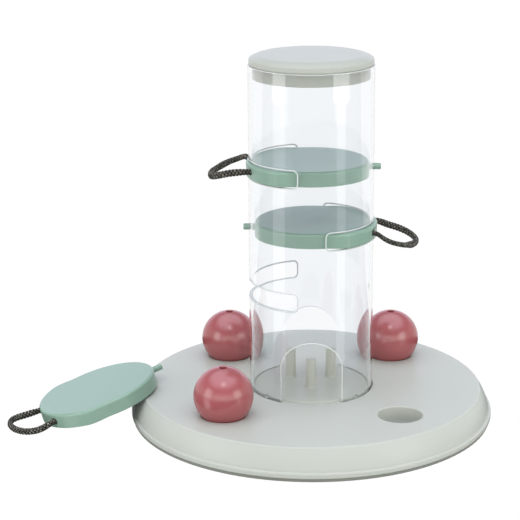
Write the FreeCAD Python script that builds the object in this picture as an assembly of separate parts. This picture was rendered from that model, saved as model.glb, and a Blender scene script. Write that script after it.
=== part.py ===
import FreeCAD, Part
import math
import os
from FreeCAD import Vector as V, Placement, Rotation

# Cat treat tower: a round base with four wells, a clear tower with slots for
# three pull-out drawers, a press-in lid and three loose balls on the wells.
# Millimetres, +Z up. Origin: the tower's axis where it meets the floor.
# The slots face -X and +X, the two arches face -Y and +Y.

# ---------------------------------------------------------------- dimensions
BASE_R = 125.0          # outer radius of the base's lip
PLATE_Z = 20.75         # top of the flat plate
PLATE_R = 117.7         # where the plate's rounded edge meets the slope
BASE_WALL = 2.5         # wall of the base moulding
LIP_Z = 2.4             # underside of the lip, on the anti-slip ring

PLATFORM_R = 39.4       # raised floor inside the tower
PLATFORM_Z = 21.7
GROOVE_R = 43.3         # outer wall of the groove that takes the tower's foot
GROOVE_Z = 17.2         # floor of the groove
BOSS_R = 46.2
BOSS_Z = 14.6

WELL_X, WELL_Y = 58.56, 59.71
WELL_R = 14.85          # mouth of a well, inside its rounded rim
WELL_RIM = 1.0          # radius of that rim
WELL_DEPTH = 14.0
WELL_DRAFT = 7.0        # slope of a well's wall, degrees
WELL_CORNER = 5.0       # radius between its wall and its floor

PEGS = ((0.0, -11.0), (-14.05, 10.7), (14.05, 10.7))
PEG_R_FOOT, PEG_R_TOP, PEG_H = 3.75, 3.45, 21.1

TUBE_RO = 42.4
TUBE_RI = 40.2
TUBE_Z0 = 17.5
TUBE_Z1 = 245.25
ARCH_HALF = 20.3        # half width of the front and back arches
ARCH_SIDE_Z = 46.5
ARCH_TOP_Z = 64.0
SLOT_X = 9.6            # a slot is everything beyond this distance from the axis
SLOT_H = 12.0
SLOT_R = 3.0            # rounded slot corners
SLOT_Z_LOW, SLOT_Z_MID, SLOT_Z_TOP = 85.8, 127.9, 170.0
PIN_HOLE_R = 2.55
LUG_ANGLE = 49.0        # lugs at the foot, from the front and back

LID_R = 41.65
LID_Z = 245.45         # underside of the lid's lip
LID_TOP = 252.0
PLUG_R = 39.25
PLUG_Z = 236.5
PLUG_WALL = 2.0

DRAWER_T = 10.1
DRAWER_RP = 38.75       # disc that runs in the bore
DRAWER_RF = 44.3        # flange that fills the slot and stands proud
DRAWER_A1, DRAWER_A2 = 56.0, 81.0   # the flange blends into the disc between these angles
DRAWER_CX = 0.4
DRAWER_WALL = 2.0
DRAWER_EDGE = 1.9       # rounding of the upper edge
PIN_R = 2.15
PIN_TIP = 46.8
HOLE_Y = 16.6           # rope holes, each side of the middle
HOLE_R = 2.35
DRAWER_TOP_Z = 175.75   # mid height of the inserted drawers
DRAWER_MID_Z = 133.95
DRAWER_MID_OUT = 0.8    # the middle drawer stands this far out
# The third drawer lies beside the base, its pin end up on the rim.
LEAN_POS = (-145.41, -10.48, 17.60)
LEAN_YAW, LEAN_TILT, LEAN_ROLL = 25.99, 14.92, -6.46

ROPE_R = 2.0
KNOT_R = 3.2
KNOT_X = -34.9
ROPE_END_X = -37.9      # face where rope and knot meet, in the drawer's own frame

BALL_R = 20.05
BALL_Z = 33.95
BALL_HOLE_R = 2.5
BALL_HOLE_DEPTH = 7.5
BALLS = (("ball_front_left", -WELL_X, -WELL_Y),
         ("ball_rear_left", -WELL_X, WELL_Y),
         ("ball_rear_right", WELL_X, WELL_Y))

# Rope routes, one list per drawer, from knot to knot.
ROUTE_TOP = [(-37.9, -16.6, 175.75), (-43.0, -16.6, 175.9), (-48.3, -17.2, 175.8),
             (-54.4, -16.9, 175.15), (-60.2, -15.4, 173.7), (-65.1, -10.8, 171.7),
             (-68.0, -3.6, 170.4), (-67.9, 4.7, 170.7), (-65.1, 12.0, 171.0),
             (-60.6, 18.2, 172.6), (-55.6, 22.4, 174.2), (-50.2, 24.8, 175.5),
             (-45.7, 24.9, 177.2), (-43.7, 20.6, 177.6), (-42.2, 16.6, 175.9),
             (-37.9, 16.6, 175.75)]
ROUTE_MID = [(38.7, -16.6, 133.95), (43.4, -16.6, 133.85), (48.0, -18.6, 130.6),
             (52.6, -20.5, 128.5), (58.1, -18.4, 126.4), (63.5, -13.2, 124.2),
             (68.2, -6.1, 122.7), (72.1, 2.1, 122.4), (71.4, 9.7, 123.3),
             (68.0, 15.8, 124.8), (63.4, 19.6, 126.4), (57.8, 20.9, 128.2),
             (53.0, 19.6, 129.9), (48.4, 18.2, 132.2), (43.6, 16.7, 133.85),
             (38.7, 16.6, 133.95)]
ROUTE_LOW = [(-171.54, -41.55, 9.64), (-176.4, -43.9, 8.2), (-180.1, -46.6, 6.4),
             (-184.6, -47.7, 4.5), (-190.2, -46.9, 3.1), (-196.4, -44.7, 2.4),
             (-202.2, -40.4, 2.3), (-206.8, -32.4, 2.25), (-206.8, -23.6, 2.3),
             (-202.6, -19.7, 2.9), (-197.5, -18.4, 4.0), (-193.1, -16.6, 4.9),
             (-189.3, -13.6, 4.95), (-185.14, -11.47, 6.02)]


# ------------------------------------------------------------------- helpers
def chain(start, steps):
    """Closed wire in the XZ plane. A step is (r, z), or ((rm, zm), (r, z)) for an arc through rm, zm."""
    edges, here = [], V(start[0], 0, start[1])
    for s in steps:
        if isinstance(s[0], tuple):
            mid, end = V(s[0][0], 0, s[0][1]), V(s[1][0], 0, s[1][1])
            edges.append(Part.Arc(here, mid, end).toShape())
        else:
            end = V(s[0], 0, s[1])
            edges.append(Part.LineSegment(here, end).toShape())
        here = end
    first = V(start[0], 0, start[1])
    if here.distanceToPoint(first) > 1e-6:
        edges.append(Part.LineSegment(here, first).toShape())
    return Part.Wire(edges)


def turned(start, steps):
    return Part.Face(chain(start, steps)).revolve(V(0, 0, 0), V(0, 0, 1), 360)


def ring(r0, r1, z0, z1):
    return Part.makeCylinder(r1, z1 - z0, V(0, 0, z0)).cut(
        Part.makeCylinder(r0, z1 - z0 + 2, V(0, 0, z0 - 1)))


def box(x0, x1, y0, y1, z0, z1):
    return Part.makeBox(x1 - x0, y1 - y0, z1 - z0, V(x0, y0, z0))


def at(shape, x, y, z=0.0):
    s = shape.copy()
    s.translate(V(x, y, z))
    return s


def rotz(shape, deg):
    s = shape.copy()
    s.rotate(V(0, 0, 0), V(0, 0, 1), deg)
    return s


def tidy(shape):
    s = shape.removeSplitter()
    return s


def write(name, shape):
    solids = shape.Solids
    out = solids[0] if len(solids) == 1 else Part.makeCompound(solids)
    if not out.isValid():
        print("not valid:", name)
    print("%-22s solids %d  volume %.0f mm3" % (name, len(solids), sum(s.Volume for s in solids)))
    out.exportStep(os.path.join("parts", name + ".step"))
    return out


# ---------------------------------------------------------------- base plate
def base_plate():
    shell = turned((0, PLATE_Z), [
        (115.6, PLATE_Z), ((116.95, 20.4), (PLATE_R, 19.35)),
        ((121.15, 13.3), (123.3, 6.8)), ((123.45, 6.35), (123.9, 6.2)),
        ((124.75, 5.75), (BASE_R, 4.9)), (BASE_R, 3.3), ((124.75, 2.65), (124.1, LIP_Z)),
        (121.2, LIP_Z), (121.2, 5.6), ((119.0, 12.6), (115.4, PLATE_Z - BASE_WALL)),
        (0, PLATE_Z - BASE_WALL)])
    boss = Part.makeCylinder(BOSS_R, PLATE_Z - BOSS_Z - 0.5, V(0, 0, BOSS_Z))
    # platform with a small rounded edge
    platform = turned((0, BOSS_Z), [
        (PLATFORM_R, BOSS_Z), (PLATFORM_R, PLATFORM_Z - 0.7),
        ((PLATFORM_R - 0.205, PLATFORM_Z - 0.205), (PLATFORM_R - 0.7, PLATFORM_Z)),
        (0, PLATFORM_Z)])
    body = shell.fuse(boss).fuse(platform)
    # space under the platform
    body = body.cut(Part.makeCylinder(36.0, PLATFORM_Z - 2.6 - BOSS_Z + 1, V(0, 0, BOSS_Z - 1)))
    # the groove for the tower's foot runs between the two arches on each side
    groove = ring(PLATFORM_R, GROOVE_R, GROOVE_Z, PLATE_Z + 3)
    keep = box(-ARCH_HALF + 0.4, ARCH_HALF - 0.4, -60, 60, GROOVE_Z - 1, PLATE_Z + 4)
    body = body.cut(groove.cut(keep))
    # notches in the platform's edge for the lugs
    notch = box(PLATFORM_R - 1.3, PLATFORM_R + 0.5, -1.6, 1.6, GROOVE_Z, PLATFORM_Z + 1)
    for a in (LUG_ANGLE, -LUG_ANGLE, 180 - LUG_ANGLE, LUG_ANGLE - 180):
        body = body.cut(rotz(notch, a - 90))
    # wells: round cups with a slightly sloping wall and a rounded floor
    d, q = math.radians(WELL_DRAFT), WELL_CORNER
    z_rim, z_floor = PLATE_Z - WELL_RIM, PLATE_Z - WELL_DEPTH
    zc = z_floor + q
    xc = WELL_R - math.tan(d) * (z_rim - (zc - q * math.sin(d))) - q * math.cos(d)
    am = (math.pi / 2 + d) / 2

    def corner(r):
        return ((xc + r * math.cos(am), zc - r * math.sin(am)), (xc, zc - r))

    t = q + 1.9
    z_cut = PLATE_Z - 1.0
    foot = (xc + t * math.cos(d), zc - t * math.sin(d))
    outer = turned((0, z_cut), [
        (foot[0] + math.tan(d) * (z_cut - foot[1]), z_cut), foot, corner(t), (0, zc - t)])
    k = WELL_RIM * (1 - math.sqrt(0.5))
    cutter = turned((0, PLATE_Z + 3), [
        (WELL_R + WELL_RIM, PLATE_Z + 3), (WELL_R + WELL_RIM, PLATE_Z),
        ((WELL_R + k, PLATE_Z - k), (WELL_R, z_rim)),
        (xc + q * math.cos(d), zc - q * math.sin(d)), corner(q), (0, z_floor)])
    for sx in (-1, 1):
        for sy in (-1, 1):
            body = body.fuse(at(outer, sx * WELL_X, sy * WELL_Y))
    for sx in (-1, 1):
        for sy in (-1, 1):
            body = body.cut(at(cutter, sx * WELL_X, sy * WELL_Y))
    # pegs
    f = 1.3
    peg = turned((0, PLATFORM_Z - 1.0), [
        (PEG_R_FOOT + f, PLATFORM_Z - 1.0), (PEG_R_FOOT + f, PLATFORM_Z),
        ((PEG_R_FOOT + f * (1 - math.sqrt(0.5)), PLATFORM_Z + f * (1 - math.sqrt(0.5))),
         (PEG_R_FOOT, PLATFORM_Z + f)),
        (PEG_R_TOP, PLATFORM_Z + PEG_H - 0.9),
        ((PEG_R_TOP - 0.26, PLATFORM_Z + PEG_H - 0.26), (PEG_R_TOP - 0.9, PLATFORM_Z + PEG_H)),
        (0, PLATFORM_Z + PEG_H)])
    for x, y in PEGS:
        body = body.fuse(at(peg, x, y))
    return tidy(body)


def anti_slip_ring():
    return turned((118.9, 0), [
        (119.8, 0), (120.0, 0.4), (120.5, 0.4), (120.7, 0),
        (121.5, 0), (121.7, 0.4), (122.2, 0.4), (122.4, 0),
        (123.5, 0), ((123.89, 0.16), (124.05, 0.55)), (124.05, 2.35),
        (121.1, 2.35), (121.1, 5.4), (119.3, 5.4), (118.9, 5.0)])


# -------------------------------------------------------------------- tower
def slot_cutter(z0, side):
    """Rounded bar along Y whose round end sits SLOT_X from the axis, on the given side."""
    z1, far = z0 + SLOT_H, 60.0
    r, k = SLOT_R, SLOT_R * (1 - math.sqrt(0.5))
    w = chain((SLOT_X + r, z0), [
        (far, z0), (far, z1), (SLOT_X + r, z1),
        ((SLOT_X + k, z1 - k), (SLOT_X, z1 - r)), (SLOT_X, z0 + r),
        ((SLOT_X + k, z0 + k), (SLOT_X + r, z0))])
    bar = Part.Face(w).extrude(V(0, 140, 0))
    bar.translate(V(0, -70, 0))
    if side < 0:
        bar.rotate(V(0, 0, 0), V(0, 0, 1), 180)
    return bar


def tower_tube():
    e = 0.35   # softened top rim
    tube = turned((TUBE_RI, TUBE_Z0), [
        (TUBE_RO, TUBE_Z0), (TUBE_RO, TUBE_Z1 - e), (TUBE_RO - e, TUBE_Z1),
        (TUBE_RI + e, TUBE_Z1), (TUBE_RI, TUBE_Z1 - e)])
    lug = ring(PLATFORM_R - 0.9, TUBE_RI + 0.6, TUBE_Z0 + 0.2, TUBE_Z0 + 3.0).common(
        box(0, 60, -1.2, 1.2, 0, 60))
    for a in (LUG_ANGLE, -LUG_ANGLE, 180 - LUG_ANGLE, LUG_ANGLE - 180):
        tube = tube.fuse(rotz(lug, a - 90))
    w = chain((-ARCH_HALF, 0), [
        (ARCH_HALF, 0), (ARCH_HALF, ARCH_SIDE_Z),
        ((0, ARCH_TOP_Z), (-ARCH_HALF, ARCH_SIDE_Z))])
    arch = Part.Face(w).extrude(V(0, 140, 0))
    arch.translate(V(0, -70, 0))
    tube = tube.cut(arch)
    for z0, side in ((SLOT_Z_TOP, -1), (SLOT_Z_MID, 1), (SLOT_Z_LOW, -1)):
        tube = tube.cut(slot_cutter(z0, side))
    zl = SLOT_Z_LOW + 0.85 + DRAWER_T / 2
    for z, side in ((DRAWER_TOP_Z, 1), (DRAWER_MID_Z, -1), (zl, 1)):
        tube = tube.cut(Part.makeCylinder(PIN_HOLE_R, 30, V(side * 25, 0, z), V(side, 0, 0)))
    return tidy(tube)


def tower_lid():
    """Lid with a nearly flat top, a broad rounded shoulder and a plug that fits the bore."""
    return turned((0, LID_TOP), [
        ((17.0, LID_TOP - 0.06), (33.0, LID_TOP - 0.22)),
        ((38.4, LID_TOP - 1.2), (LID_R - 0.35, LID_TOP - 2.65)),
        ((LID_R - 0.08, LID_TOP - 3.1), (LID_R, LID_TOP - 3.6)),
        (LID_R, LID_Z + 1.4), ((LID_R - 0.12, LID_Z + 0.6), (LID_R - 0.55, LID_Z)), (PLUG_R, LID_Z),
        (PLUG_R, PLUG_Z + 0.5), (PLUG_R - 0.5, PLUG_Z), (PLUG_R - PLUG_WALL, PLUG_Z),
        (PLUG_R - PLUG_WALL, LID_TOP - 3.8), (0, LID_TOP - 2.35)])


# ------------------------------------------------------------------ drawers
def plan_wire(inset):
    """Outline of a drawer: flange arc on -X, disc arc on +X and a smooth blend on each side."""
    rf, rp = DRAWER_RF - inset, DRAWER_RP - inset
    a1, a2 = math.radians(DRAWER_A1), math.radians(DRAWER_A2)

    def pt(r, t):
        return V(DRAWER_CX - r * math.cos(t), -r * math.sin(t), 0)

    def along(t, k):
        return V(math.sin(t) * k, -math.cos(t) * k, 0)

    h1, h2 = rf * (a2 - a1) / 3, rp * (a2 - a1) / 3
    blend = Part.BezierCurve()
    blend.setPoles([pt(rf, a1), pt(rf, a1).add(along(a1, h1)),
                    pt(rp, a2).sub(along(a2, h2)), pt(rp, a2)])
    back = Part.BezierCurve()
    back.setPoles([pt(rp, -a2), pt(rp, -a2).add(along(-a2, h2)),
                   pt(rf, -a1).sub(along(-a1, h1)), pt(rf, -a1)])
    return Part.Wire([
        Part.Arc(pt(rf, -a1), pt(rf, 0), pt(rf, a1)).toShape(), blend.toShape(),
        Part.Arc(pt(rp, a2), pt(rp, math.pi), pt(rp, -a2)).toShape(), back.toShape()])


def slab(inset, z0, z1):
    f = Part.Face(plan_wire(inset))
    f.translate(V(0, 0, z0))
    return f.extrude(V(0, 0, z1 - z0))


def edges_at(shape, z):
    out = []
    for e in shape.Edges:
        a, b = e.FirstParameter, e.LastParameter
        if all(abs(e.valueAt(a + (b - a) * t).z - z) < 1e-6 for t in (0.0, 0.31, 0.5, 0.83)):
            out.append(e)
    return out


def drawer():
    """The drawer in its own frame: rope side -X, pin +X, mid height at z = 0."""
    h = DRAWER_T / 2
    s = slab(0.0, -h, h)
    s = s.makeFillet(DRAWER_EDGE, edges_at(s, h))
    s = s.makeFillet(0.5, edges_at(s, -h))
    s = s.cut(slab(DRAWER_WALL, -h - 1, h - 2.0))
    # stiffening ribs under the top
    rib_z = h - 2.0 - 1.6
    inner = slab(DRAWER_WALL - 0.5, rib_z, h - 1.5)
    ribs = box(-60, 60, -0.7, 0.7, rib_z, h - 1.5).fuse(
        [box(x - 0.7, x + 0.7, -60, 60, rib_z, h - 1.5) for x in (-20.0, 20.0)])
    s = s.fuse(ribs.common(inner))
    # pin with a softened tip, on a small root
    pin = turned((0, 36.2), [
        (PIN_R, 36.2), (PIN_R, PIN_TIP - 0.5), (PIN_R - 0.5, PIN_TIP), (0, PIN_TIP)])
    pin.rotate(V(0, 0, 0), V(0, 1, 0), 90)
    s = s.fuse(pin)
    for y in (-HOLE_Y, HOLE_Y):
        s = s.cut(Part.makeCylinder(HOLE_R, 14, V(-48, y, 0), V(1, 0, 0)))
    return tidy(s)


def knot_pair():
    """Two knots behind the rope holes, each with the flat face where its rope ends."""
    out = []
    for y in (-HOLE_Y, HOLE_Y):
        k = Part.makeSphere(KNOT_R, V(KNOT_X, y, -0.25))
        k = k.cut(box(KNOT_X - 10, ROPE_END_X, y - 10, y + 10, -10, 10))
        out.append(k)
    return out


def rope(points, name):
    """Straight runs joined by tangent arcs as large as the runs allow."""
    P = [V(*p) for p in points]
    runs = [P[i + 1].sub(P[i]).Length for i in range(len(P) - 1)]
    edges, here, length, radii = [], P[0], 0.0, []
    for i in range(1, len(P) - 1):
        u = P[i].sub(P[i - 1]).normalize()
        w = P[i + 1].sub(P[i]).normalize()
        turn = math.acos(max(-1.0, min(1.0, u.dot(w))))
        short = min(runs[i - 1], runs[i])
        t = 0.45 * short
        r = t / math.tan(turn / 2)
        radii.append(r)
        a = P[i].sub(V(u).multiply(t))
        b = P[i].add(V(w).multiply(t))
        bis = w.sub(u).normalize()
        centre = P[i].add(V(bis).multiply(r / math.cos(turn / 2)))
        m = centre.sub(V(bis).multiply(r))
        edges.append(Part.LineSegment(here, a).toShape())
        edges.append(Part.Arc(a, m, b).toShape())
        length += here.distanceToPoint(a) + r * turn
        here = b
    edges.append(Part.LineSegment(here, P[-1]).toShape())
    length += here.distanceToPoint(P[-1])
    path = Part.Wire(edges)
    d = P[1].sub(P[0])
    ring_ = Part.Wire([Part.makeCircle(ROPE_R, P[0], d)])
    tube = path.makePipeShell([ring_], True, False, 1)
    s = Part.makeSolid(tube) if tube.ShapeType != "Solid" else tube
    if s.Volume < 0:
        s.reverse()
    print("%s: length %.1f, section x length %.0f, volume %.0f, runs %s, radii %s, lowest %.2f" % (
        name, length, math.pi * ROPE_R ** 2 * length, s.Volume,
        " ".join("%.1f" % x for x in runs), " ".join("%.1f" % x for x in radii),
        s.BoundBox.ZMin))
    return s


def placed(shape, placement):
    s = shape.copy()
    s.Placement = placement.multiply(s.Placement)
    return s


# --------------------------------------------------------------------- balls
def ball():
    """Solid ball with a short blind hole at the top."""
    b = Part.makeSphere(BALL_R, V(0, 0, BALL_Z))
    e = 0.5
    zt = BALL_Z + math.sqrt(BALL_R ** 2 - (BALL_HOLE_R + e) ** 2)
    zb = BALL_Z + BALL_R - BALL_HOLE_DEPTH
    hole = turned((0, zb), [
        (BALL_HOLE_R, zb), (BALL_HOLE_R, zt - e),
        (BALL_HOLE_R + e, zt), (BALL_HOLE_R + e, zt + 3), (0, zt + 3)])
    return b.cut(hole)


# ------------------------------------------------------------------ assembly
os.makedirs("parts", exist_ok=True)
write("base_plate", base_plate())
write("anti_slip_ring", anti_slip_ring())
write("tower_tube", tower_tube())
write("tower_lid", tower_lid())

D = drawer()
K = knot_pair()
top_place = Placement(V(0, 0, DRAWER_TOP_Z), Rotation())
mid_place = Placement(V(DRAWER_MID_OUT, 0, DRAWER_MID_Z), Rotation(V(0, 0, 1), 180))
low_place = Placement(V(*LEAN_POS), Rotation(V(0, 0, 1), LEAN_YAW)
                      .multiply(Rotation(V(0, 1, 0), -LEAN_TILT))
                      .multiply(Rotation(V(1, 0, 0), LEAN_ROLL)))
for key, place, route in (("top", top_place, ROUTE_TOP), ("middle", mid_place, ROUTE_MID),
                          ("bottom", low_place, ROUTE_LOW)):
    d = write("drawer_" + key, placed(D, place))
    print("   lowest point %.2f" % d.BoundBox.ZMin)
    write("rope_knots_" + key, Part.makeCompound([placed(k, place) for k in K]))
    for y in (-HOLE_Y, HOLE_Y):
        e = place.multVec(V(ROPE_END_X, y, 0))
        print("   rope end %s: %.2f %.2f %.2f" % (key, e.x, e.y, e.z))
    write("rope_loop_" + key, rope(route, key))

for name, x, y in BALLS:
    write(name, at(ball(), x, y))
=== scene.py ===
import math

import bmesh
import bpy
import numpy as np
from mathutils import Matrix, Vector


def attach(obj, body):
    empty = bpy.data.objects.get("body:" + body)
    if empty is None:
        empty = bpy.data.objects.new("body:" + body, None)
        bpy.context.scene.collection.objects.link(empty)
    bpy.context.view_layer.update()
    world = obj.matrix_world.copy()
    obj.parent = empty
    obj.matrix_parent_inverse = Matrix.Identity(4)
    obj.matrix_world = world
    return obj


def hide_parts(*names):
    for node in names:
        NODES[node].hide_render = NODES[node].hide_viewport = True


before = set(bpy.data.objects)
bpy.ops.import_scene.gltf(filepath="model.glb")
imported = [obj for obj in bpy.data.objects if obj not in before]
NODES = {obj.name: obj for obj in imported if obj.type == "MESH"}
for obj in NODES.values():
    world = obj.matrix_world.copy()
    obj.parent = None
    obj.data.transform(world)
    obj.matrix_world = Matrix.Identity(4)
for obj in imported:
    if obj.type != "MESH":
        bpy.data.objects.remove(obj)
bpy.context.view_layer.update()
SCENE = bpy.context.scene
MM = 0.001


def link(obj):
    SCENE.collection.objects.link(obj)
    return obj


# ------------------------------------------------------------------- camera
def make_camera():
    pitch, yaw, roll = math.radians(16.384), math.radians(-1.137), math.radians(-0.412)
    fwd = Vector((math.sin(yaw) * math.cos(pitch), math.cos(yaw) * math.cos(pitch), -math.sin(pitch)))
    right = Vector((math.cos(yaw), -math.sin(yaw), 0.0))
    up = right.cross(fwd)
    r2 = right * math.cos(roll) + up * math.sin(roll)
    u2 = -right * math.sin(roll) + up * math.cos(roll)
    m = Matrix.Identity(4)
    for i, v in enumerate((r2, u2, -fwd)):
        for k in range(3):
            m[k][i] = v[k]
    m.translation = Vector((-0.012775, -1.114125, 0.43774))
    data = bpy.data.cameras.new("camera")
    data.sensor_width = 36.0
    data.lens = 1698.84 * 36.0 / 520.0
    data.clip_start, data.clip_end = 0.05, 100.0
    cam = link(bpy.data.objects.new("camera", data))
    cam.matrix_world = m
    SCENE.camera = cam
    return cam


make_camera()


# ---------------------------------------------------------------- materials
def new_material(name):
    mat = bpy.data.materials.new(name)
    mat.use_nodes = True
    nt = mat.node_tree
    bsdf = next(n for n in nt.nodes if n.type == "BSDF_PRINCIPLED")
    coord = nt.nodes.new("ShaderNodeTexCoord")
    return mat, nt, bsdf, coord


def noise(nt, coord, scale, detail=2.0, rough=0.5, stretch=None):
    n = nt.nodes.new("ShaderNodeTexNoise")
    n.inputs["Scale"].default_value = scale
    n.inputs["Detail"].default_value = detail
    n.inputs["Roughness"].default_value = rough
    if stretch:
        mp = nt.nodes.new("ShaderNodeMapping")
        mp.inputs["Scale"].default_value = stretch
        nt.links.new(coord.outputs["Object"], mp.inputs["Vector"])
        nt.links.new(mp.outputs["Vector"], n.inputs["Vector"])
    else:
        nt.links.new(coord.outputs["Object"], n.inputs["Vector"])
    return n


def ramp(nt, source, stops):
    r = nt.nodes.new("ShaderNodeValToRGB")
    e = r.color_ramp.elements
    e[0].position, e[0].color = stops[0][0], (*stops[0][1], 1.0)
    e[1].position, e[1].color = stops[-1][0], (*stops[-1][1], 1.0)
    for pos, col in stops[1:-1]:
        x = e.new(pos)
        x.color = (*col, 1.0)
    nt.links.new(source, r.inputs["Fac"])
    return r


def shade(c, k):
    return tuple(min(1.0, x * k) for x in c)


def plastic(name, colour, rough, vary=0.015, grain=1100.0, grain_depth=0.000004, specular=0.5,
            relief=0.16):
    """Moulded plastic: a slow drift of tone, a fine grain in the surface."""
    mat, nt, bsdf, coord = new_material(name)
    slow = noise(nt, coord, 9.0, 3.0)
    tone = ramp(nt, slow.outputs["Fac"], [(0.3, shade(colour, 1 - vary)), (0.7, shade(colour, 1 + vary))])
    nt.links.new(tone.outputs["Color"], bsdf.inputs["Base Color"])
    bsdf.inputs["Roughness"].default_value = rough
    fine = noise(nt, coord, grain, 0.0)
    bump = nt.nodes.new("ShaderNodeBump")
    bump.inputs["Strength"].default_value = relief
    bump.inputs["Distance"].default_value = grain_depth
    nt.links.new(fine.outputs["Fac"], bump.inputs["Height"])
    nt.links.new(bump.outputs["Normal"], bsdf.inputs["Normal"])
    bsdf.inputs["Specular IOR Level"].default_value = specular
    return mat


def clear_plastic(name, tint):
    mat, nt, bsdf, coord = new_material(name)
    slow = noise(nt, coord, 14.0, 2.0)
    tone = ramp(nt, slow.outputs["Fac"], [(0.3, shade(tint, 0.995)), (0.7, shade(tint, 1.005))])
    nt.links.new(tone.outputs["Color"], bsdf.inputs["Base Color"])
    bsdf.inputs["Transmission Weight"].default_value = 1.0
    bsdf.inputs["IOR"].default_value = 1.49
    bsdf.inputs["Roughness"].default_value = 0.015
    wave = noise(nt, coord, 38.0, 2.0, 0.5, (1.0, 1.0, 0.25))
    bump = nt.nodes.new("ShaderNodeBump")
    bump.inputs["Strength"].default_value = 0.15
    bump.inputs["Distance"].default_value = 0.00001
    nt.links.new(wave.outputs["Fac"], bump.inputs["Height"])
    nt.links.new(bump.outputs["Normal"], bsdf.inputs["Normal"])
    lets_lamps_through(nt, bsdf, (0.985, 0.988, 0.985))
    return mat


def cut_edge(name, tint, frost_and_painted_glow, rough):
    """The pale, milky look given to the clear plastic where it was cut or has a rounded edge: on the cut faces partly
    a frosted cut and partly painted light that stands in for light carried along the wall, on the rounded edges a
    painted highlight.
    """
    mat, nt, bsdf, coord = new_material(name)
    haze = noise(nt, coord, 700.0, 3.0, 0.6)
    tone = ramp(nt, haze.outputs["Fac"], [(0.3, shade(tint, 0.96)), (0.7, shade(tint, 1.04))])
    nt.links.new(tone.outputs["Color"], bsdf.inputs["Base Color"])
    bsdf.inputs["Transmission Weight"].default_value = 1.0 - frost_and_painted_glow
    bsdf.inputs["IOR"].default_value = 1.49
    mr = nt.nodes.new("ShaderNodeMapRange")
    mr.inputs["To Min"].default_value = rough - 0.08
    mr.inputs["To Max"].default_value = rough + 0.08
    nt.links.new(haze.outputs["Fac"], mr.inputs["Value"])
    nt.links.new(mr.outputs["Result"], bsdf.inputs["Roughness"])
    lets_lamps_through(nt, bsdf, (0.80, 0.82, 0.83))
    return mat


def lets_lamps_through(nt, bsdf, tint):
    """Lamp shadows pass the clear wall straight, with a little of its tint."""
    out = next(n for n in nt.nodes if n.type == "OUTPUT_MATERIAL")
    clear = nt.nodes.new("ShaderNodeBsdfTransparent")
    clear.inputs["Color"].default_value = (*tint, 1.0)
    path = nt.nodes.new("ShaderNodeLightPath")
    mix = nt.nodes.new("ShaderNodeMixShader")
    nt.links.new(path.outputs["Is Shadow Ray"], mix.inputs[0])
    nt.links.new(bsdf.outputs["BSDF"], mix.inputs[1])
    nt.links.new(clear.outputs["BSDF"], mix.inputs[2])
    nt.links.new(mix.outputs["Shader"], out.inputs["Surface"])


def fibre(name):
    """Black braided yarn with painted light: the colour is lighter on the outward side of each strand as a painted
    highlight, the gaps are painted dark as painted shade, and pale flecks show, partly pale filaments and partly
    painted glints.
    """
    mat, nt, bsdf, coord = new_material(name)
    # the braid's painted highlight and shade mask, read as an attribute
    painted_crown_light = nt.nodes.new("ShaderNodeAttribute")
    painted_crown_light.attribute_name = "painted_crown_light"
    fleck_and_glint = noise(nt, coord, 1300.0, 2.0, 0.6)
    drift = noise(nt, coord, 260.0, 2.0, 0.5)
    # yarn colour with painted light: near black in the gaps (painted shade), lighter on the strand tops (painted
    # highlight)
    body = ramp(nt, painted_crown_light.outputs["Fac"], [(0.0, (0.002, 0.002, 0.002)), (0.45, (0.010, 0.009, 0.008)),
                                           (0.74, (0.050, 0.046, 0.038)), (0.88, (0.130, 0.120, 0.100)),
                                           (1.0, (0.240, 0.225, 0.190))])
    # pale flecks up to 2.6 times brighter: partly pale filaments in the yarn, partly painted glints on shiny fibres
    light = ramp(nt, fleck_and_glint.outputs["Fac"], [(0.44, (0.35, 0.35, 0.35)), (0.53, (1.0, 1.0, 1.0)),
                                            (0.68, (2.6, 2.5, 2.3))])
    worn = ramp(nt, drift.outputs["Fac"], [(0.35, (0.55, 0.55, 0.55)), (0.65, (1.35, 1.35, 1.35))])
    m1 = nt.nodes.new("ShaderNodeVectorMath")
    m1.operation = "MULTIPLY"
    nt.links.new(body.outputs["Color"], m1.inputs[0])
    nt.links.new(light.outputs["Color"], m1.inputs[1])
    m2 = nt.nodes.new("ShaderNodeVectorMath")
    m2.operation = "MULTIPLY"
    nt.links.new(m1.outputs["Vector"], m2.inputs[0])
    nt.links.new(worn.outputs["Color"], m2.inputs[1])
    nt.links.new(m2.outputs["Vector"], bsdf.inputs["Base Color"])
    bsdf.inputs["Roughness"].default_value = 0.55
    bsdf.inputs["Specular IOR Level"].default_value = 0.35
    hair = noise(nt, coord, 2600.0, 2.0, 0.6)
    bump = nt.nodes.new("ShaderNodeBump")
    bump.inputs["Strength"].default_value = 0.6
    bump.inputs["Distance"].default_value = 0.00006
    nt.links.new(hair.outputs["Fac"], bump.inputs["Height"])
    nt.links.new(bump.outputs["Normal"], bsdf.inputs["Normal"])
    return mat


M_BASE = plastic("base_plastic", (0.452, 0.462, 0.420), 0.32, specular=0.26)
# the base plastic again, about 5% darker and a little warmer: a shaded copy, painted shade, as the lid is moulded in
# the same plastic
M_LID_PAINTED_SHADE = plastic("lid_plastic_painted_shade", (0.428, 0.438, 0.393), 0.30, specular=0.10)
M_DRAWER = plastic("drawer_plastic", (0.220, 0.334, 0.266), 0.28, specular=0.50, relief=0.10)
M_BALL = plastic("ball_rubber", (0.335, 0.082, 0.090), 0.22, grain=1400.0, specular=0.70)
M_RING = plastic("ring_rubber", (0.21, 0.22, 0.19), 0.75, vary=0.08, grain=1800.0, grain_depth=0.00005)
M_TUBE = clear_plastic("tube_plastic", (0.962, 0.975, 0.988))
# cut faces: partly frosted, partly a painted glow of the light carried along the clear wall
M_CUT = cut_edge("tube_cut_face", (0.70, 0.72, 0.71), 0.85, 0.40)
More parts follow.
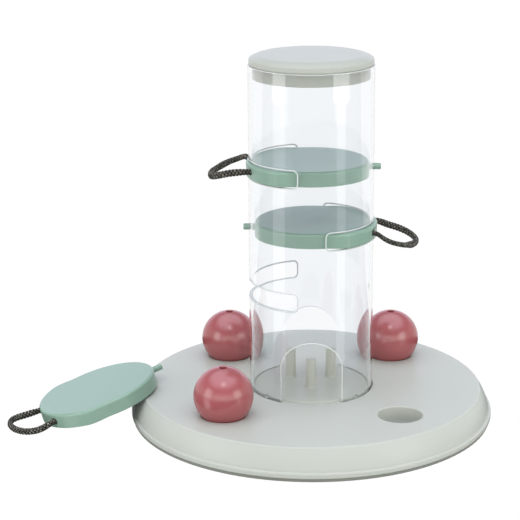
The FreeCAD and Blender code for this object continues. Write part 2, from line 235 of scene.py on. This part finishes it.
# rounded edges: fully opaque and pale, a painted highlight standing in for the light a clear rounded edge catches
M_EDGE_PAINTED_HIGHLIGHT = cut_edge("tube_round_edge_painted_highlight", (0.60, 0.62, 0.61), 1.0, 0.25)
M_ROPE = fibre("rope_yarn")


def paint(obj, mat):
    obj.data.materials.clear()
    obj.data.materials.append(mat)
    return obj


# ----------------------------------------------------------------- geometry
def mesh_object(name, verts, faces, smooth=True):
    me = bpy.data.meshes.new(name)
    me.from_pydata([tuple(v) for v in verts], [], [tuple(f) for f in faces])
    me.update()
    if smooth:
        for p in me.polygons:
            p.use_smooth = True
    return link(bpy.data.objects.new(name, me))


def route_line(points, step=0.0003):
    """Even points along the smooth curve that the control points give."""
    cu = bpy.data.curves.new("route", "CURVE")
    cu.dimensions = "3D"
    sp = cu.splines.new("NURBS")
    sp.points.add(len(points) - 1)
    for p, q in zip(sp.points, points):
        p.co = (q[0], q[1], q[2], 1.0)
    sp.order_u = 3
    sp.use_endpoint_u = True
    cu.resolution_u = 32
    ob = bpy.data.objects.new("route", cu)
    me = bpy.data.meshes.new_from_object(ob)
    line = np.array([v.co for v in me.vertices], float)
    bpy.data.meshes.remove(me)
    bpy.data.curves.remove(cu)
    gone = np.linalg.norm(np.diff(line, axis=0), axis=1)
    line = line[np.r_[True, gone > 1e-7]]
    along = np.r_[0.0, np.cumsum(np.linalg.norm(np.diff(line, axis=0), axis=1))]
    n = int(math.ceil(along[-1] / step)) + 1
    at = np.linspace(0.0, along[-1], n)
    return np.stack([np.interp(at, along, line[:, k]) for k in range(3)], axis=1), along[-1]


def frames_along(line):
    t = np.gradient(line, axis=0)
    t /= np.linalg.norm(t, axis=1)[:, None]
    n = np.zeros_like(line)
    a = np.array([0.0, 0.0, 1.0])
    a = a - t[0] * (a @ t[0])
    n[0] = a / np.linalg.norm(a)
    for i in range(1, len(line)):
        v = n[i - 1] - t[i] * (n[i - 1] @ t[i])
        n[i] = v / np.linalg.norm(v)
    return t, n, np.cross(t, n)


def tube_rings(centres, u, v, a, b, sides):
    """Rings of an elliptic tube: u and v are the half axes' directions."""
    k = np.arange(sides) * 2 * math.pi / sides
    c, s = np.cos(k), np.sin(k)
    return (centres[:, None, :] + a * c[None, :, None] * u[:, None, :]
            + b * s[None, :, None] * v[:, None, :])


def tube_faces(rings, sides, base):
    out = []
    for i in range(rings - 1):
        for j in range(sides):
            j2 = (j + 1) % sides
            out.append((base + i * sides + j, base + i * sides + j2,
                        base + (i + 1) * sides + j2, base + (i + 1) * sides + j))
    out.append(tuple(base + j for j in range(sides))[::-1])
    out.append(tuple(base + (rings - 1) * sides + j for j in range(sides)))
    return out


def unit(v):
    return v / np.linalg.norm(v, axis=-1, keepdims=True)


def flattened(rings, line, t, wide, amount, swell=1.0):
    """Presses a round section into an oval one: wide is the direction of its long axis at each ring."""
    rings = line[:, None, :] + (rings - line[:, None, :]) * np.reshape(swell, (-1, 1, 1))
    w = unit(wide - t * (wide * t).sum(1)[:, None])
    h = np.cross(t, w)
    o = rings - line[:, None, :]
    ow = (o * w[:, None, :]).sum(2)
    oh = (o * h[:, None, :]).sum(2)
    return (rings + w[:, None, :] * (ow * (0.11 * amount)[:, None])[:, :, None]
            - h[:, None, :] * (oh * (0.22 * amount)[:, None])[:, :, None])


def braid(line, wide, amount, lay, radius=0.00126, wave=0.00032, half=0.00066, thick=0.00047, sides=12,
          swell=1.0):
    """An eight-strand round braid, four strands each way, about a dark core; painted_crown_light is a painted
    highlight mask, up to 1 on the outward side of a raised strand, and 0 on the core, which paints shade into the
    gaps.
    """
    t, n, b = frames_along(line)
    length = np.linalg.norm(np.diff(line, axis=0), axis=1).sum()
    s = np.linspace(0.0, length, len(line))
    verts, faces, painted_crown_light, count = [], [], [], 0
    # up marks the outward half of each strand's section, where the painted highlight goes
    up = np.clip(np.sin(np.arange(sides) * 2 * math.pi / sides), 0, 1)
    for way in (1, -1):
        for i in range(4):
            th = 2 * math.pi * i / 4 + way * 2 * math.pi * s / lay
            lift = way * np.cos(8 * math.pi * s / lay)
            r = radius + wave * lift
            er = np.cos(th)[:, None] * n + np.sin(th)[:, None] * b
            c = line + r[:, None] * er
            d = unit(np.gradient(c, axis=0))
            er = unit(er - d * (er * d).sum(1)[:, None])
            side = np.cross(d, er)
            ring = flattened(tube_rings(c, side, er, half, thick, sides), line, t, wide, amount, swell)
            verts.append(ring.reshape(-1, 3))
            # painted highlight: lighter on the outward side of each strand, most where it rides over the crossing
            # strands
            painted_crown_light.append((up[None, :] * (0.30 + 0.35 * (1 + lift))[:, None]).reshape(-1))
            faces += tube_faces(len(line), sides, count)
            count += len(line) * sides
    core = flattened(tube_rings(line, n, b, radius - 0.0002, radius - 0.0002, 12), line, t, wide, amount, swell)
    verts.append(core.reshape(-1, 3))
    # the core gets 0: painted shade, the darkest colour, in the gaps between strands
    painted_crown_light.append(np.zeros(len(line) * 12))
    faces += tube_faces(len(line), 12, count)
    return np.concatenate(verts), faces, np.concatenate(painted_crown_light)


# stores the braid's painted highlight and shade mask as a point attribute
def add_painted_crown_light(obj, painted_crown_light):
    att = obj.data.attributes.new("painted_crown_light", "FLOAT", "POINT")
    att.data.foreach_set("value", np.asarray(painted_crown_light, np.float32))
    return obj


def braided_rope(name, points, wides, lay=0.0092, fat=1.13):
    """wides lists (share of the length, direction of the section's long axis, how flat)."""
    line, length = route_line(points)
    t = unit(np.gradient(line, axis=0))
    at = np.linspace(0.0, 1.0, len(line))
    where = [w[0] for w in wides]
    wide = np.stack([np.interp(at, where, [w[1][k] for w in wides]) for k in range(3)], axis=1)
    amount = np.interp(at, where, [w[2] for w in wides])
    swell = np.interp(at, [0.0, 0.075, 0.13, 0.87, 0.925, 1.0], [1.0, 1.0, fat, fat, 1.0, 1.0])
    verts, faces, painted_crown_light = braid(line, wide, amount, lay, swell=swell)
    return add_painted_crown_light(mesh_object(name, verts, faces), painted_crown_light), line, length


def stopper_knots(name, ends):
    """A barrel knot behind each rope hole: two and a quarter turns of the cord about its own end, and a short tail."""
    verts, faces, painted_crown_light, count = [], [], [], 0
    for centre, inward, up in ends:
        x = unit(np.array(inward, float))
        z = unit(np.array(up, float) - x * float(np.dot(up, x)))
        y = np.cross(z, x)
        c = np.array(centre, float)
        a = np.linspace(0.0, 1.0, 220)
        ang = 2 * math.pi * 2.25 * a
        r = 0.00150 * np.minimum(1.0, 0.55 + 3.0 * a) * np.minimum(1.0, 0.25 + 5.0 * (1 - a))
        wind = c + ((a - 0.5) * 0.0038)[:, None] * x + (r * np.cos(ang))[:, None] * y + (r * np.sin(ang))[:, None] * z
        tail_at = np.linspace(0.0, 1.0, 60)[1:]
        tail = wind[-1] + (tail_at * 0.0040)[:, None] * x + (np.sin(tail_at * 1.4) * 0.0006)[:, None] * z
        for line, scale in ((wind, 0.70), (tail, 0.66)):
            line = np.asarray(line)
            wide = np.tile(x, (len(line), 1)) if line is not tail else np.tile(z, (len(line), 1))
            v, f, k = braid(line, wide, np.zeros(len(line)), 0.0062, 0.00126 * scale, 0.00026 * scale,
                            0.00066 * scale, 0.00047 * scale, 8)
            verts.append(v)
            faces += [tuple(i + count for i in q) for q in f]
            painted_crown_light.append(k)
            count += len(v)
    return add_painted_crown_light(mesh_object(name, np.concatenate(verts), faces), np.concatenate(painted_crown_light))


def metres(points):
    return [(x * MM, y * MM, z * MM) for x, y, z in points]


ROUTE_TOP = metres([
    (-37.9, -16.6, 175.75), (-43.0, -16.6, 175.9), (-48.3, -17.2, 175.8),
    (-54.4, -16.9, 175.15), (-60.2, -15.4, 173.7), (-65.1, -10.8, 171.7),
    (-68.0, -3.6, 170.4), (-67.9, 4.7, 170.7), (-65.1, 12.0, 171.0),
    (-60.6, 18.2, 172.6), (-55.6, 22.4, 174.2), (-50.2, 24.8, 175.5),
    (-45.7, 24.9, 177.2), (-43.7, 20.6, 177.6), (-42.2, 16.6, 175.9),
    (-37.9, 16.6, 175.75)])
ROUTE_MID = metres([
    (38.7, -16.6, 133.95), (43.4, -16.6, 133.85), (48.0, -18.6, 130.6),
    (52.6, -20.5, 128.5), (58.1, -18.4, 126.4), (63.5, -13.2, 124.2),
    (68.2, -6.1, 122.7), (72.1, 2.1, 122.4), (71.4, 9.7, 123.3),
    (68.0, 15.8, 124.8), (63.4, 19.6, 126.4), (57.8, 20.9, 128.2),
    (53.0, 19.6, 129.9), (48.4, 18.2, 132.2), (43.6, 16.7, 133.85),
    (38.7, 16.6, 133.95)])
ROUTE_LOW = metres([
    (-171.54, -41.55, 9.64), (-176.4, -43.9, 8.2), (-180.1, -46.6, 6.4),
    (-184.6, -47.7, 4.5), (-190.2, -46.9, 3.1), (-196.4, -44.7, 2.4),
    (-202.2, -40.4, 2.3), (-206.8, -32.4, 2.25), (-206.8, -23.6, 2.3),
    (-202.6, -19.7, 2.9), (-197.5, -18.4, 4.0), (-193.1, -16.6, 4.9),
    (-189.3, -13.6, 4.95), (-185.14, -11.47, 6.02)])
UP, ALONG_Y = (0, 0, 1), (0, 1, 0)
WIDE_TOP = [(0.0, UP, 0.2), (0.1, UP, 1.0), (0.5, UP, 1.0), (0.62, (0.35, 0.45, 0.8), 0.8),
            (0.75, (0.0, 0.9, 0.45), 0.7), (0.92, ALONG_Y, 0.7), (1.0, ALONG_Y, 0.2)]
WIDE_MID = [(0.0, ALONG_Y, 0.2), (0.1, ALONG_Y, 1.1), (0.32, ALONG_Y, 1.1), (0.45, (0.2, 0.4, 0.8), 0.9),
            (0.55, UP, 0.9), (0.9, UP, 0.9), (1.0, UP, 0.2)]
WIDE_LOW = [(0.0, UP, 0.2), (0.1, UP, 0.6), (0.40, UP, 0.6), (0.52, UP, 0.8), (0.9, UP, 1.0), (1.0, UP, 0.2)]
LEAN_IN = (0.8646, 0.4359, 0.2500)
LEAN_UP = (-0.225, -0.118, 0.967)
ENDS_TOP = [((-0.0349, y, 0.17550), (1, 0, 0), (0, 0, 1)) for y in (-0.0166, 0.0166)]
ENDS_MID = [((0.0357, y, 0.13370), (-1, 0, 0), (0, 0, 1)) for y in (-0.0166, 0.0166)]


def lean_point(x, y, z):
    """A point of the leaning drawer's own frame, in millimetres, in the shared frame."""
    a, b, c = math.radians(25.99), math.radians(-14.92), math.radians(-6.46)
    m = Matrix.Rotation(a, 3, "Z") @ Matrix.Rotation(b, 3, "Y") @ Matrix.Rotation(c, 3, "X")
    return (m @ Vector((x, y, z)) + Vector((-145.41, -10.48, 17.60))) * MM


def lean_way(x, y, z):
    return lean_point(x, y, z) - lean_point(0, 0, 0)


ENDS_LOW = [(lean_point(-34.9, y, -0.25), lean_way(1, 0, 0), lean_way(0, 0, 1)) for y in (-16.6, 16.6)]

for key, body, route, wides, ends, said in (
        ("top", "top_drawer", ROUTE_TOP, WIDE_TOP, ENDS_TOP, 0.0900),
        ("middle", "middle_drawer", ROUTE_MID, WIDE_MID, ENDS_MID, 0.0940),
        ("bottom", "bottom_drawer", ROUTE_LOW, WIDE_LOW, ENDS_LOW, 0.0775)):
    rope, line, length = braided_rope("rope_braid_" + key, route, wides)
    knot = stopper_knots("rope_stoppers_" + key, ends)
    for piece, node in ((rope, "rope_loop_" + key), (knot, "rope_knots_" + key)):
        paint(piece, M_ROPE)
        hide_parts(node)
        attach(piece, body)
    print("rope", key, "length", round(length, 4))


# --------------------------------------------------------------- clear tower
def bm_object(name, bm):
    bmesh.ops.recalc_face_normals(bm, faces=bm.faces)
    me = bpy.data.meshes.new(name)
    bm.to_mesh(me)
    bm.free()
    return link(bpy.data.objects.new(name, me))


def prism(bm, a, b):
    """Closed prism between two equal outlines."""
    va = [bm.verts.new(p) for p in a]
    vb = [bm.verts.new(p) for p in b]
    bm.faces.new(va)
    bm.faces.new(vb[::-1])
    for i in range(len(va)):
        j = (i + 1) % len(va)
        bm.faces.new((va[j], va[i], vb[i], vb[j]))


RO, RI, TUBE_BOTTOM, TUBE_TOP = 42.4, 40.2, 17.5, 245.25


SLOTS = ((170.0, -1), (127.9, 1), (85.8, -1))


def slot_loop(z0, side, r, grow):
    """The outline of a slot, a little larger, on a round wall of radius r: over the top, down, back below and up."""
    x, rr, z1 = 9.6 - grow, 3.0 + grow, z0 + 12.0 + grow
    z0 -= grow
    corner = [(x + rr - rr * math.sin(math.pi / 2 * k / 10), z1 - rr + rr * math.cos(math.pi / 2 * k / 10))
              for k in range(11)]
    half = [(px, pz) for px, pz in corner] + [(px, z0 + z1 - pz) for px, pz in corner[::-1]]
    a0 = math.acos(corner[0][0] / r)
    n = 220
    top = [(a0 - 2 * a0 * k / n, z1) for k in range(n)]
    down = [(-math.acos(px / r), pz) for px, pz in half]
    low = [(-a0 + 2 * a0 * k / n, z0) for k in range(1, n)]
    up = [(math.acos(px / r), pz) for px, pz in half[::-1]]
    out, last = [], None
    for a, z in top + down + low + up:
        p = (side * r * math.cos(a), r * math.sin(a), z)
        if last is None or math.dist(p, last) > 0.02:
            out.append(p)
            last = p
    if math.dist(out[0], out[-1]) < 0.02:
        out.pop()
    return out


def arch_path(side, r, grow):
    """The outline of an arch, a little larger, on a round wall of radius r, from one foot over to the other."""
    c, rad = 43.476, 20.524 + grow
    a0 = math.atan2(46.5 - c, 20.3)
    pts = [(20.3 + grow, 21.2 + (46.4 - 21.2) * k / 40) for k in range(41)]
    pts += [(rad * math.cos(a0 + (math.pi - 2 * a0) * k / 120), c + rad * math.sin(a0 + (math.pi - 2 * a0) * k / 120))
            for k in range(121)]
    pts += [(-px, pz) for px, pz in pts[:41][::-1]]
    return [(px, side * math.sqrt(r * r - px * px), pz) for px, pz in pts]


def bead(points, wide, high, closed, sides=12):
    """A thin oval bead along points, in millimetres: wide lies along the wall, high stands out of it."""
    p = np.array(points, float)
    if closed:
        t = np.roll(p, -1, 0) - np.roll(p, 1, 0)
    else:
        t = np.gradient(p, axis=0)
    t = unit(t)
    out = unit(np.stack([p[:, 0], p[:, 1], np.zeros(len(p))], 1))
    a = unit(out - t * (out * t).sum(1)[:, None])
    b = np.cross(t, a)
    k = np.arange(sides) * 2 * math.pi / sides
    v = p[:, None, :] + high * np.cos(k)[None, :, None] * a[:, None, :] + wide * np.sin(k)[None, :, None] * b[:, None, :]
    nor = unit(wide * np.cos(k)[None, :, None] * a[:, None, :] + high * np.sin(k)[None, :, None] * b[:, None, :])
    m = len(p)
    faces = []
    for i in range(m if closed else m - 1):
        i2 = (i + 1) % m
        for j in range(sides):
            j2 = (j + 1) % sides
            faces.append((i * sides + j, i * sides + j2, i2 * sides + j2, i2 * sides + j))
    if not closed:
        faces.append(tuple(range(sides))[::-1])
        faces.append(tuple((m - 1) * sides + j for j in range(sides)))
    return v.reshape(-1, 3) * MM, nor.reshape(-1, 3), faces


def edge_beads():
    """The softly rounded outer edges of the slots and of the front arch."""
    verts, normals, faces, count = [], [], [], 0
    jobs = []
    for z0, side in SLOTS:
        jobs.append((slot_loop(z0, side, RO - 0.05, 0.30), 0.40, 0.24, True))
    jobs.append((arch_path(-1, RO - 0.05, 0.34), 0.46, 0.24, False))
    for pts, wide, high, closed in jobs:
        v, n, f = bead(pts, wide, high, closed)
        verts.append(v)
        normals.append(n)
        faces += [tuple(i + count for i in q) for q in f]
        count += len(v)
    return np.concatenate(verts), np.concatenate(normals), faces


def clear_tower():
    """The tower's wall with its arches, slots and pin holes, fine enough to refract cleanly."""
    n, e = 720, 0.35
    bm = bmesh.new()
    rings = []
    for r, z in ((RI, TUBE_BOTTOM), (RO, TUBE_BOTTOM), (RO, TUBE_TOP - e), (RO - e, TUBE_TOP),
                 (RI + e, TUBE_TOP), (RI, TUBE_TOP - e)):
        rings.append([bm.verts.new((r * MM * math.cos(2 * math.pi * (i + 0.5) / n),
                                    r * MM * math.sin(2 * math.pi * (i + 0.5) / n), z * MM))
                      for i in range(n)])
    for k in range(len(rings)):
        a, b = rings[k], rings[(k + 1) % len(rings)]
        for i in range(n):
            j = (i + 1) % n
            bm.faces.new((a[i], a[j], b[j], b[i]))
    tube = bm_object("clear_tower", bm)

    bm = bmesh.new()
    y0, y1 = -0.07, 0.07
    c, r = 43.476, 20.524
    a0 = math.atan2(46.5 - c, 20.3)
    arch = [(-20.3, 0), (20.3, 0)] + [
        (r * math.cos(a0 + (math.pi - 2 * a0) * k / 96), c + r * math.sin(a0 + (math.pi - 2 * a0) * k / 96))
        for k in range(97)]
    shapes = [arch]
    for z0, side in SLOTS:
        z1, rr, x = z0 + 12.0, 3.0, 9.6
        pts = [(60, z0), (60, z1)]
        for k in range(17):
            q = math.pi / 2 + math.pi / 2 * k / 16
            pts.append((x + rr + rr * math.cos(q), z1 - rr + rr * math.sin(q)))
        for k in range(17):
            q = math.pi + math.pi / 2 * k / 16
            pts.append((x + rr + rr * math.cos(q), z0 + rr + rr * math.sin(q)))
        shapes.append([(side * px, pz) for px, pz in pts])
    for pts in shapes:
        prism(bm, [(px * MM, y0, pz * MM) for px, pz in pts], [(px * MM, y1, pz * MM) for px, pz in pts])
    for z, side in ((175.75, 1), (133.95, -1), (91.7, 1)):
        ring = [(2.55 * math.cos(2 * math.pi * i / 48), z + 2.55 * math.sin(2 * math.pi * i / 48))
                for i in range(48)]
        prism(bm, [(side * 0.025, py * MM, pz * MM) for py, pz in ring],
              [(side * 0.055, py * MM, pz * MM) for py, pz in ring])
    cutter = bm_object("tower_cuts", bm)

    bm = bmesh.new()
    for ang in (49, -49, 131, -131):
        q = math.radians(ang - 90)
        ux, uy = math.cos(q), math.sin(q)
        foot = []
        for rr, w in ((38.5, -1.2), (40.8, -1.2), (40.8, 1.2), (38.5, 1.2)):
            foot.append(((rr * ux - w * uy) * MM, (rr * uy + w * ux) * MM))
        prism(bm, [(px, py, 17.7 * MM) for px, py in foot], [(px, py, 20.5 * MM) for px, py in foot])
    lugs = bm_object("tower_lugs", bm)

    for other, how in ((lugs, "UNION"), (cutter, "DIFFERENCE")):
        mod = tube.modifiers.new(how, "BOOLEAN")
        mod.object, mod.operation, mod.solver = other, how, "EXACT"
    got = bpy.data.meshes.new_from_object(tube.evaluated_get(bpy.context.evaluated_depsgraph_get()))
    tube.modifiers.clear()
    tube.data = got
    got.name = "clear_tower"
    for ob in (cutter, lugs):
        me = ob.data
        bpy.data.objects.remove(ob)
        bpy.data.meshes.remove(me)

    # the wall and its rounded edges in one mesh
    wall_v, wall_f = len(got.vertices), len(got.polygons)
    bv, bn, bf = edge_beads()
    bm = bmesh.new()
    bm.from_mesh(got)
    new = [bm.verts.new(v) for v in bv]
    for q in bf:
        bm.faces.new([new[i] for i in q])
    bm.to_mesh(got)
    bm.free()

    # exact radial normals on the two round walls, flat ones on the cut edges
    co = np.empty(len(got.vertices) * 3)
    got.vertices.foreach_get("co", co)
    co = co.reshape(-1, 3)
    rad = np.hypot(co[:, 0], co[:, 1])
    normals = np.zeros((len(got.loops), 3))
    for p in got.polygons:
        p.use_smooth = True
        if p.index >= wall_f:
            # the beads take the pale opaque edge material: painted highlight
            p.material_index = 2
            for i in p.loop_indices:
                normals[i] = bn[got.loops[i].vertex_index - wall_v]
            continue
        pn = np.array(p.normal)
        ids = [got.loops[i].vertex_index for i in p.loop_indices]
        centre = co[ids].mean(0)
        out = np.array([centre[0], centre[1], 0.0]) / math.hypot(centre[0], centre[1])
        facing = float(pn @ out)
        wall = abs(facing) > 0.995 and (np.all(np.abs(rad[ids] - RO * MM) < 2e-5)
                                        or np.all(np.abs(rad[ids] - RI * MM) < 2e-5))
        for i, v in zip(p.loop_indices, ids):
            if wall:
                q = np.array([co[v, 0], co[v, 1], 0.0]) / rad[v]
                normals[i] = q if facing > 0 else -q
            else:
                normals[i] = pn
        p.material_index = 0 if wall else 1
    got.normals_split_custom_set([tuple(v) for v in normals])
    return tube


TOWER = clear_tower()
for mat in (M_TUBE, M_CUT, M_EDGE_PAINTED_HIGHLIGHT):
    TOWER.data.materials.append(mat)
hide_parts("tower_tube")
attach(TOWER, "tower")

paint(NODES["base_plate"], M_BASE)
paint(NODES["anti_slip_ring"], M_RING)
paint(NODES["tower_lid"], M_LID_PAINTED_SHADE)
for k in ("top", "middle", "bottom"):
    paint(NODES["drawer_" + k], M_DRAWER)
for k in ("front_left", "rear_left", "rear_right"):
    paint(NODES["ball_" + k], M_BALL)


# -------------------------------------------------------------------- stage
def floor_plane(name, z, rgb, glow, front=-14.0):
    me = bpy.data.meshes.new(name)
    me.from_pydata([(-14, front, z), (14, front, z), (14, 14, z), (-14, 14, z)], [], [(0, 1, 2, 3)])
    ob = link(bpy.data.objects.new(name, me))
    mat, nt, bsdf, coord = new_material(name + "_white")
    bsdf.inputs["Base Color"].default_value = (rgb, rgb, rgb, 1.0)
    bsdf.inputs["Roughness"].default_value = 1.0
    bsdf.inputs["Specular IOR Level"].default_value = 0.0
    bsdf.inputs["Emission Color"].default_value = (1.0, 1.0, 1.0, 1.0)
    bsdf.inputs["Emission Strength"].default_value = glow
    paint(ob, mat)
    return ob


# radiance of the studio's walls and ceiling
FRONT_LOW, FRONT_MID = (2.12, 2.17, 2.00), (0.22, 0.23, 0.23)
BACK_LOW, BACK_MID = (1.15, 1.15, 1.42), (0.30, 0.31, 0.34)
LEFT_LOW, LEFT_MID = (0.90, 0.90, 0.81), (0.30, 0.30, 0.30)
RIGHT_LOW, RIGHT_MID = (0.70, 0.76, 0.62), (0.30, 0.30, 0.30)
CEILING = (2.10, 2.23, 2.45)


def make_stage():
    # the white ground that is seen, and under it the sheet that lights the object from below
    seen = floor_plane("floor_seen", 0.0, 0.0, 1.01)
    seen.visible_diffuse = False
    seen.visible_glossy = False
    seen.visible_shadow = False
    # the bright ground behind the object, as glossy surfaces mirror it
    behind = floor_plane("floor_behind", -0.0003, 0.0, 1.01, 0.16)
    behind.visible_camera = False
    behind.visible_diffuse = False
    behind.visible_transmission = False
    behind.visible_shadow = False
    sheet = floor_plane("floor_sheet", -0.0006, 0.70, 0.0)
    sheet.visible_camera = False
    sheet.visible_glossy = False
    sheet.visible_transmission = False

    world = bpy.data.worlds.new("studio")
    SCENE.world = world
    world.use_nodes = True
    nt = world.node_tree
    bg = next(n for n in nt.nodes if n.type == "BACKGROUND")
    tc = nt.nodes.new("ShaderNodeTexCoord")
    sep = nt.nodes.new("ShaderNodeSeparateXYZ")
    nt.links.new(tc.outputs["Generated"], sep.inputs["Vector"])

    def maths(how, a, b):
        n = nt.nodes.new("ShaderNodeMath")
        n.operation = how
        for socket, v in zip(n.inputs, (a, b)):
            if isinstance(v, float):
                socket.default_value = v
            else:
                nt.links.new(v, socket)
        return n.outputs["Value"]

    x, y, z = sep.outputs["X"], sep.outputs["Y"], sep.outputs["Z"]
    flat = maths("ADD", maths("ADD", maths("MULTIPLY", x, x), maths("MULTIPLY", y, y)), 1e-6)
    above = maths("GREATER_THAN", z, 0.0)
    # four walls of light that blend into one ceiling: each has a tone near the ground and one half way up
    total = None
    for axis, way, low, half_up in ((y, -1.0, FRONT_LOW, FRONT_MID), (y, 1.0, BACK_LOW, BACK_MID),
                                    (x, -1.0, LEFT_LOW, LEFT_MID), (x, 1.0, RIGHT_LOW, RIGHT_MID)):
        part = maths("MAXIMUM", maths("MULTIPLY", axis, way), 0.0)
        share = maths("MULTIPLY", maths("DIVIDE", maths("MULTIPLY", part, part), flat), above)
        tone = ramp(nt, z, [(0.0, low), (0.25, low), (0.5, half_up), (0.65, half_up), (0.85, CEILING),
                            (1.0, CEILING)])
        mul = nt.nodes.new("ShaderNodeVectorMath")
        mul.operation = "MULTIPLY"
        nt.links.new(tone.outputs["Color"], mul.inputs[0])
        nt.links.new(share, mul.inputs[1])
        if total is None:
            total = mul.outputs["Vector"]
        else:
            add = nt.nodes.new("ShaderNodeVectorMath")
            add.operation = "ADD"
            nt.links.new(total, add.inputs[0])
            nt.links.new(mul.outputs["Vector"], add.inputs[1])
            total = add.outputs["Vector"]
    nt.links.new(total, bg.inputs["Color"])
    bg.inputs["Strength"].default_value = 1.0


def soft_box(name, azimuth, elevation, distance, width, height, radiance, colour=(1, 1, 1)):
    """An area light that looks at the tower; azimuth 0 is the camera's side, positive to its right."""
    a, e = math.radians(azimuth), math.radians(elevation)
    d = Vector((math.sin(a) * math.cos(e), -math.cos(a) * math.cos(e), math.sin(e)))
    data = bpy.data.lights.new(name, "AREA")
    data.shape = "RECTANGLE"
    data.size, data.size_y = width, height
    data.energy = radiance * math.pi * width * height
    data.color = colour
    ob = link(bpy.data.objects.new(name, data))
    target = Vector((0, 0, 0.10))
    ob.location = target + d * distance
    ob.rotation_mode = "QUATERNION"
    ob.rotation_quaternion = (-d).to_track_quat("-Z", "Y")
    return ob


def strip(name, azimuth, distance, width, low, high, radiance):
    """A tall narrow light that stands upright beside the camera and faces the tower's axis."""
    a = math.radians(azimuth)
    ob = soft_box(name, azimuth, 0, distance, width, high - low, radiance)
    ob.location = (distance * math.sin(a), -distance * math.cos(a), (low + high) / 2)
    ob.rotation_quaternion = Vector((-math.sin(a), math.cos(a), 0)).to_track_quat("-Z", "Y")
    ob.visible_camera = False
    return ob


make_stage()
strip("strip_right", 54.5, 0.74, 0.42, 0.085, 0.45, 2.6)
strip("strip_left", -60.5, 0.74, 0.34, 0.085, 0.45, 2.6)
strip("strip_right_foot", 54.5, 0.74, 0.22, 0.0, 0.084, 0.8)
strip("strip_left_foot", -60.5, 0.74, 0.32, 0.0, 0.084, 0.8)
# the same strips mirrored in the shiny table, for reflections only
strip("strip_right_low", 54.5, 0.74, 0.22, -0.40, -0.001, 1.6)
strip("strip_left_low", -60.5, 0.74, 0.32, -0.40, -0.001, 1.9)
soft_box("box_top", 0, 62, 1.7, 0.40, 0.40, 4.0)

SCENE.view_settings.view_transform = "Standard"
SCENE.view_settings.look = "None"
SCENE.view_settings.exposure = 0.0
SCENE.view_settings.gamma = 1.0
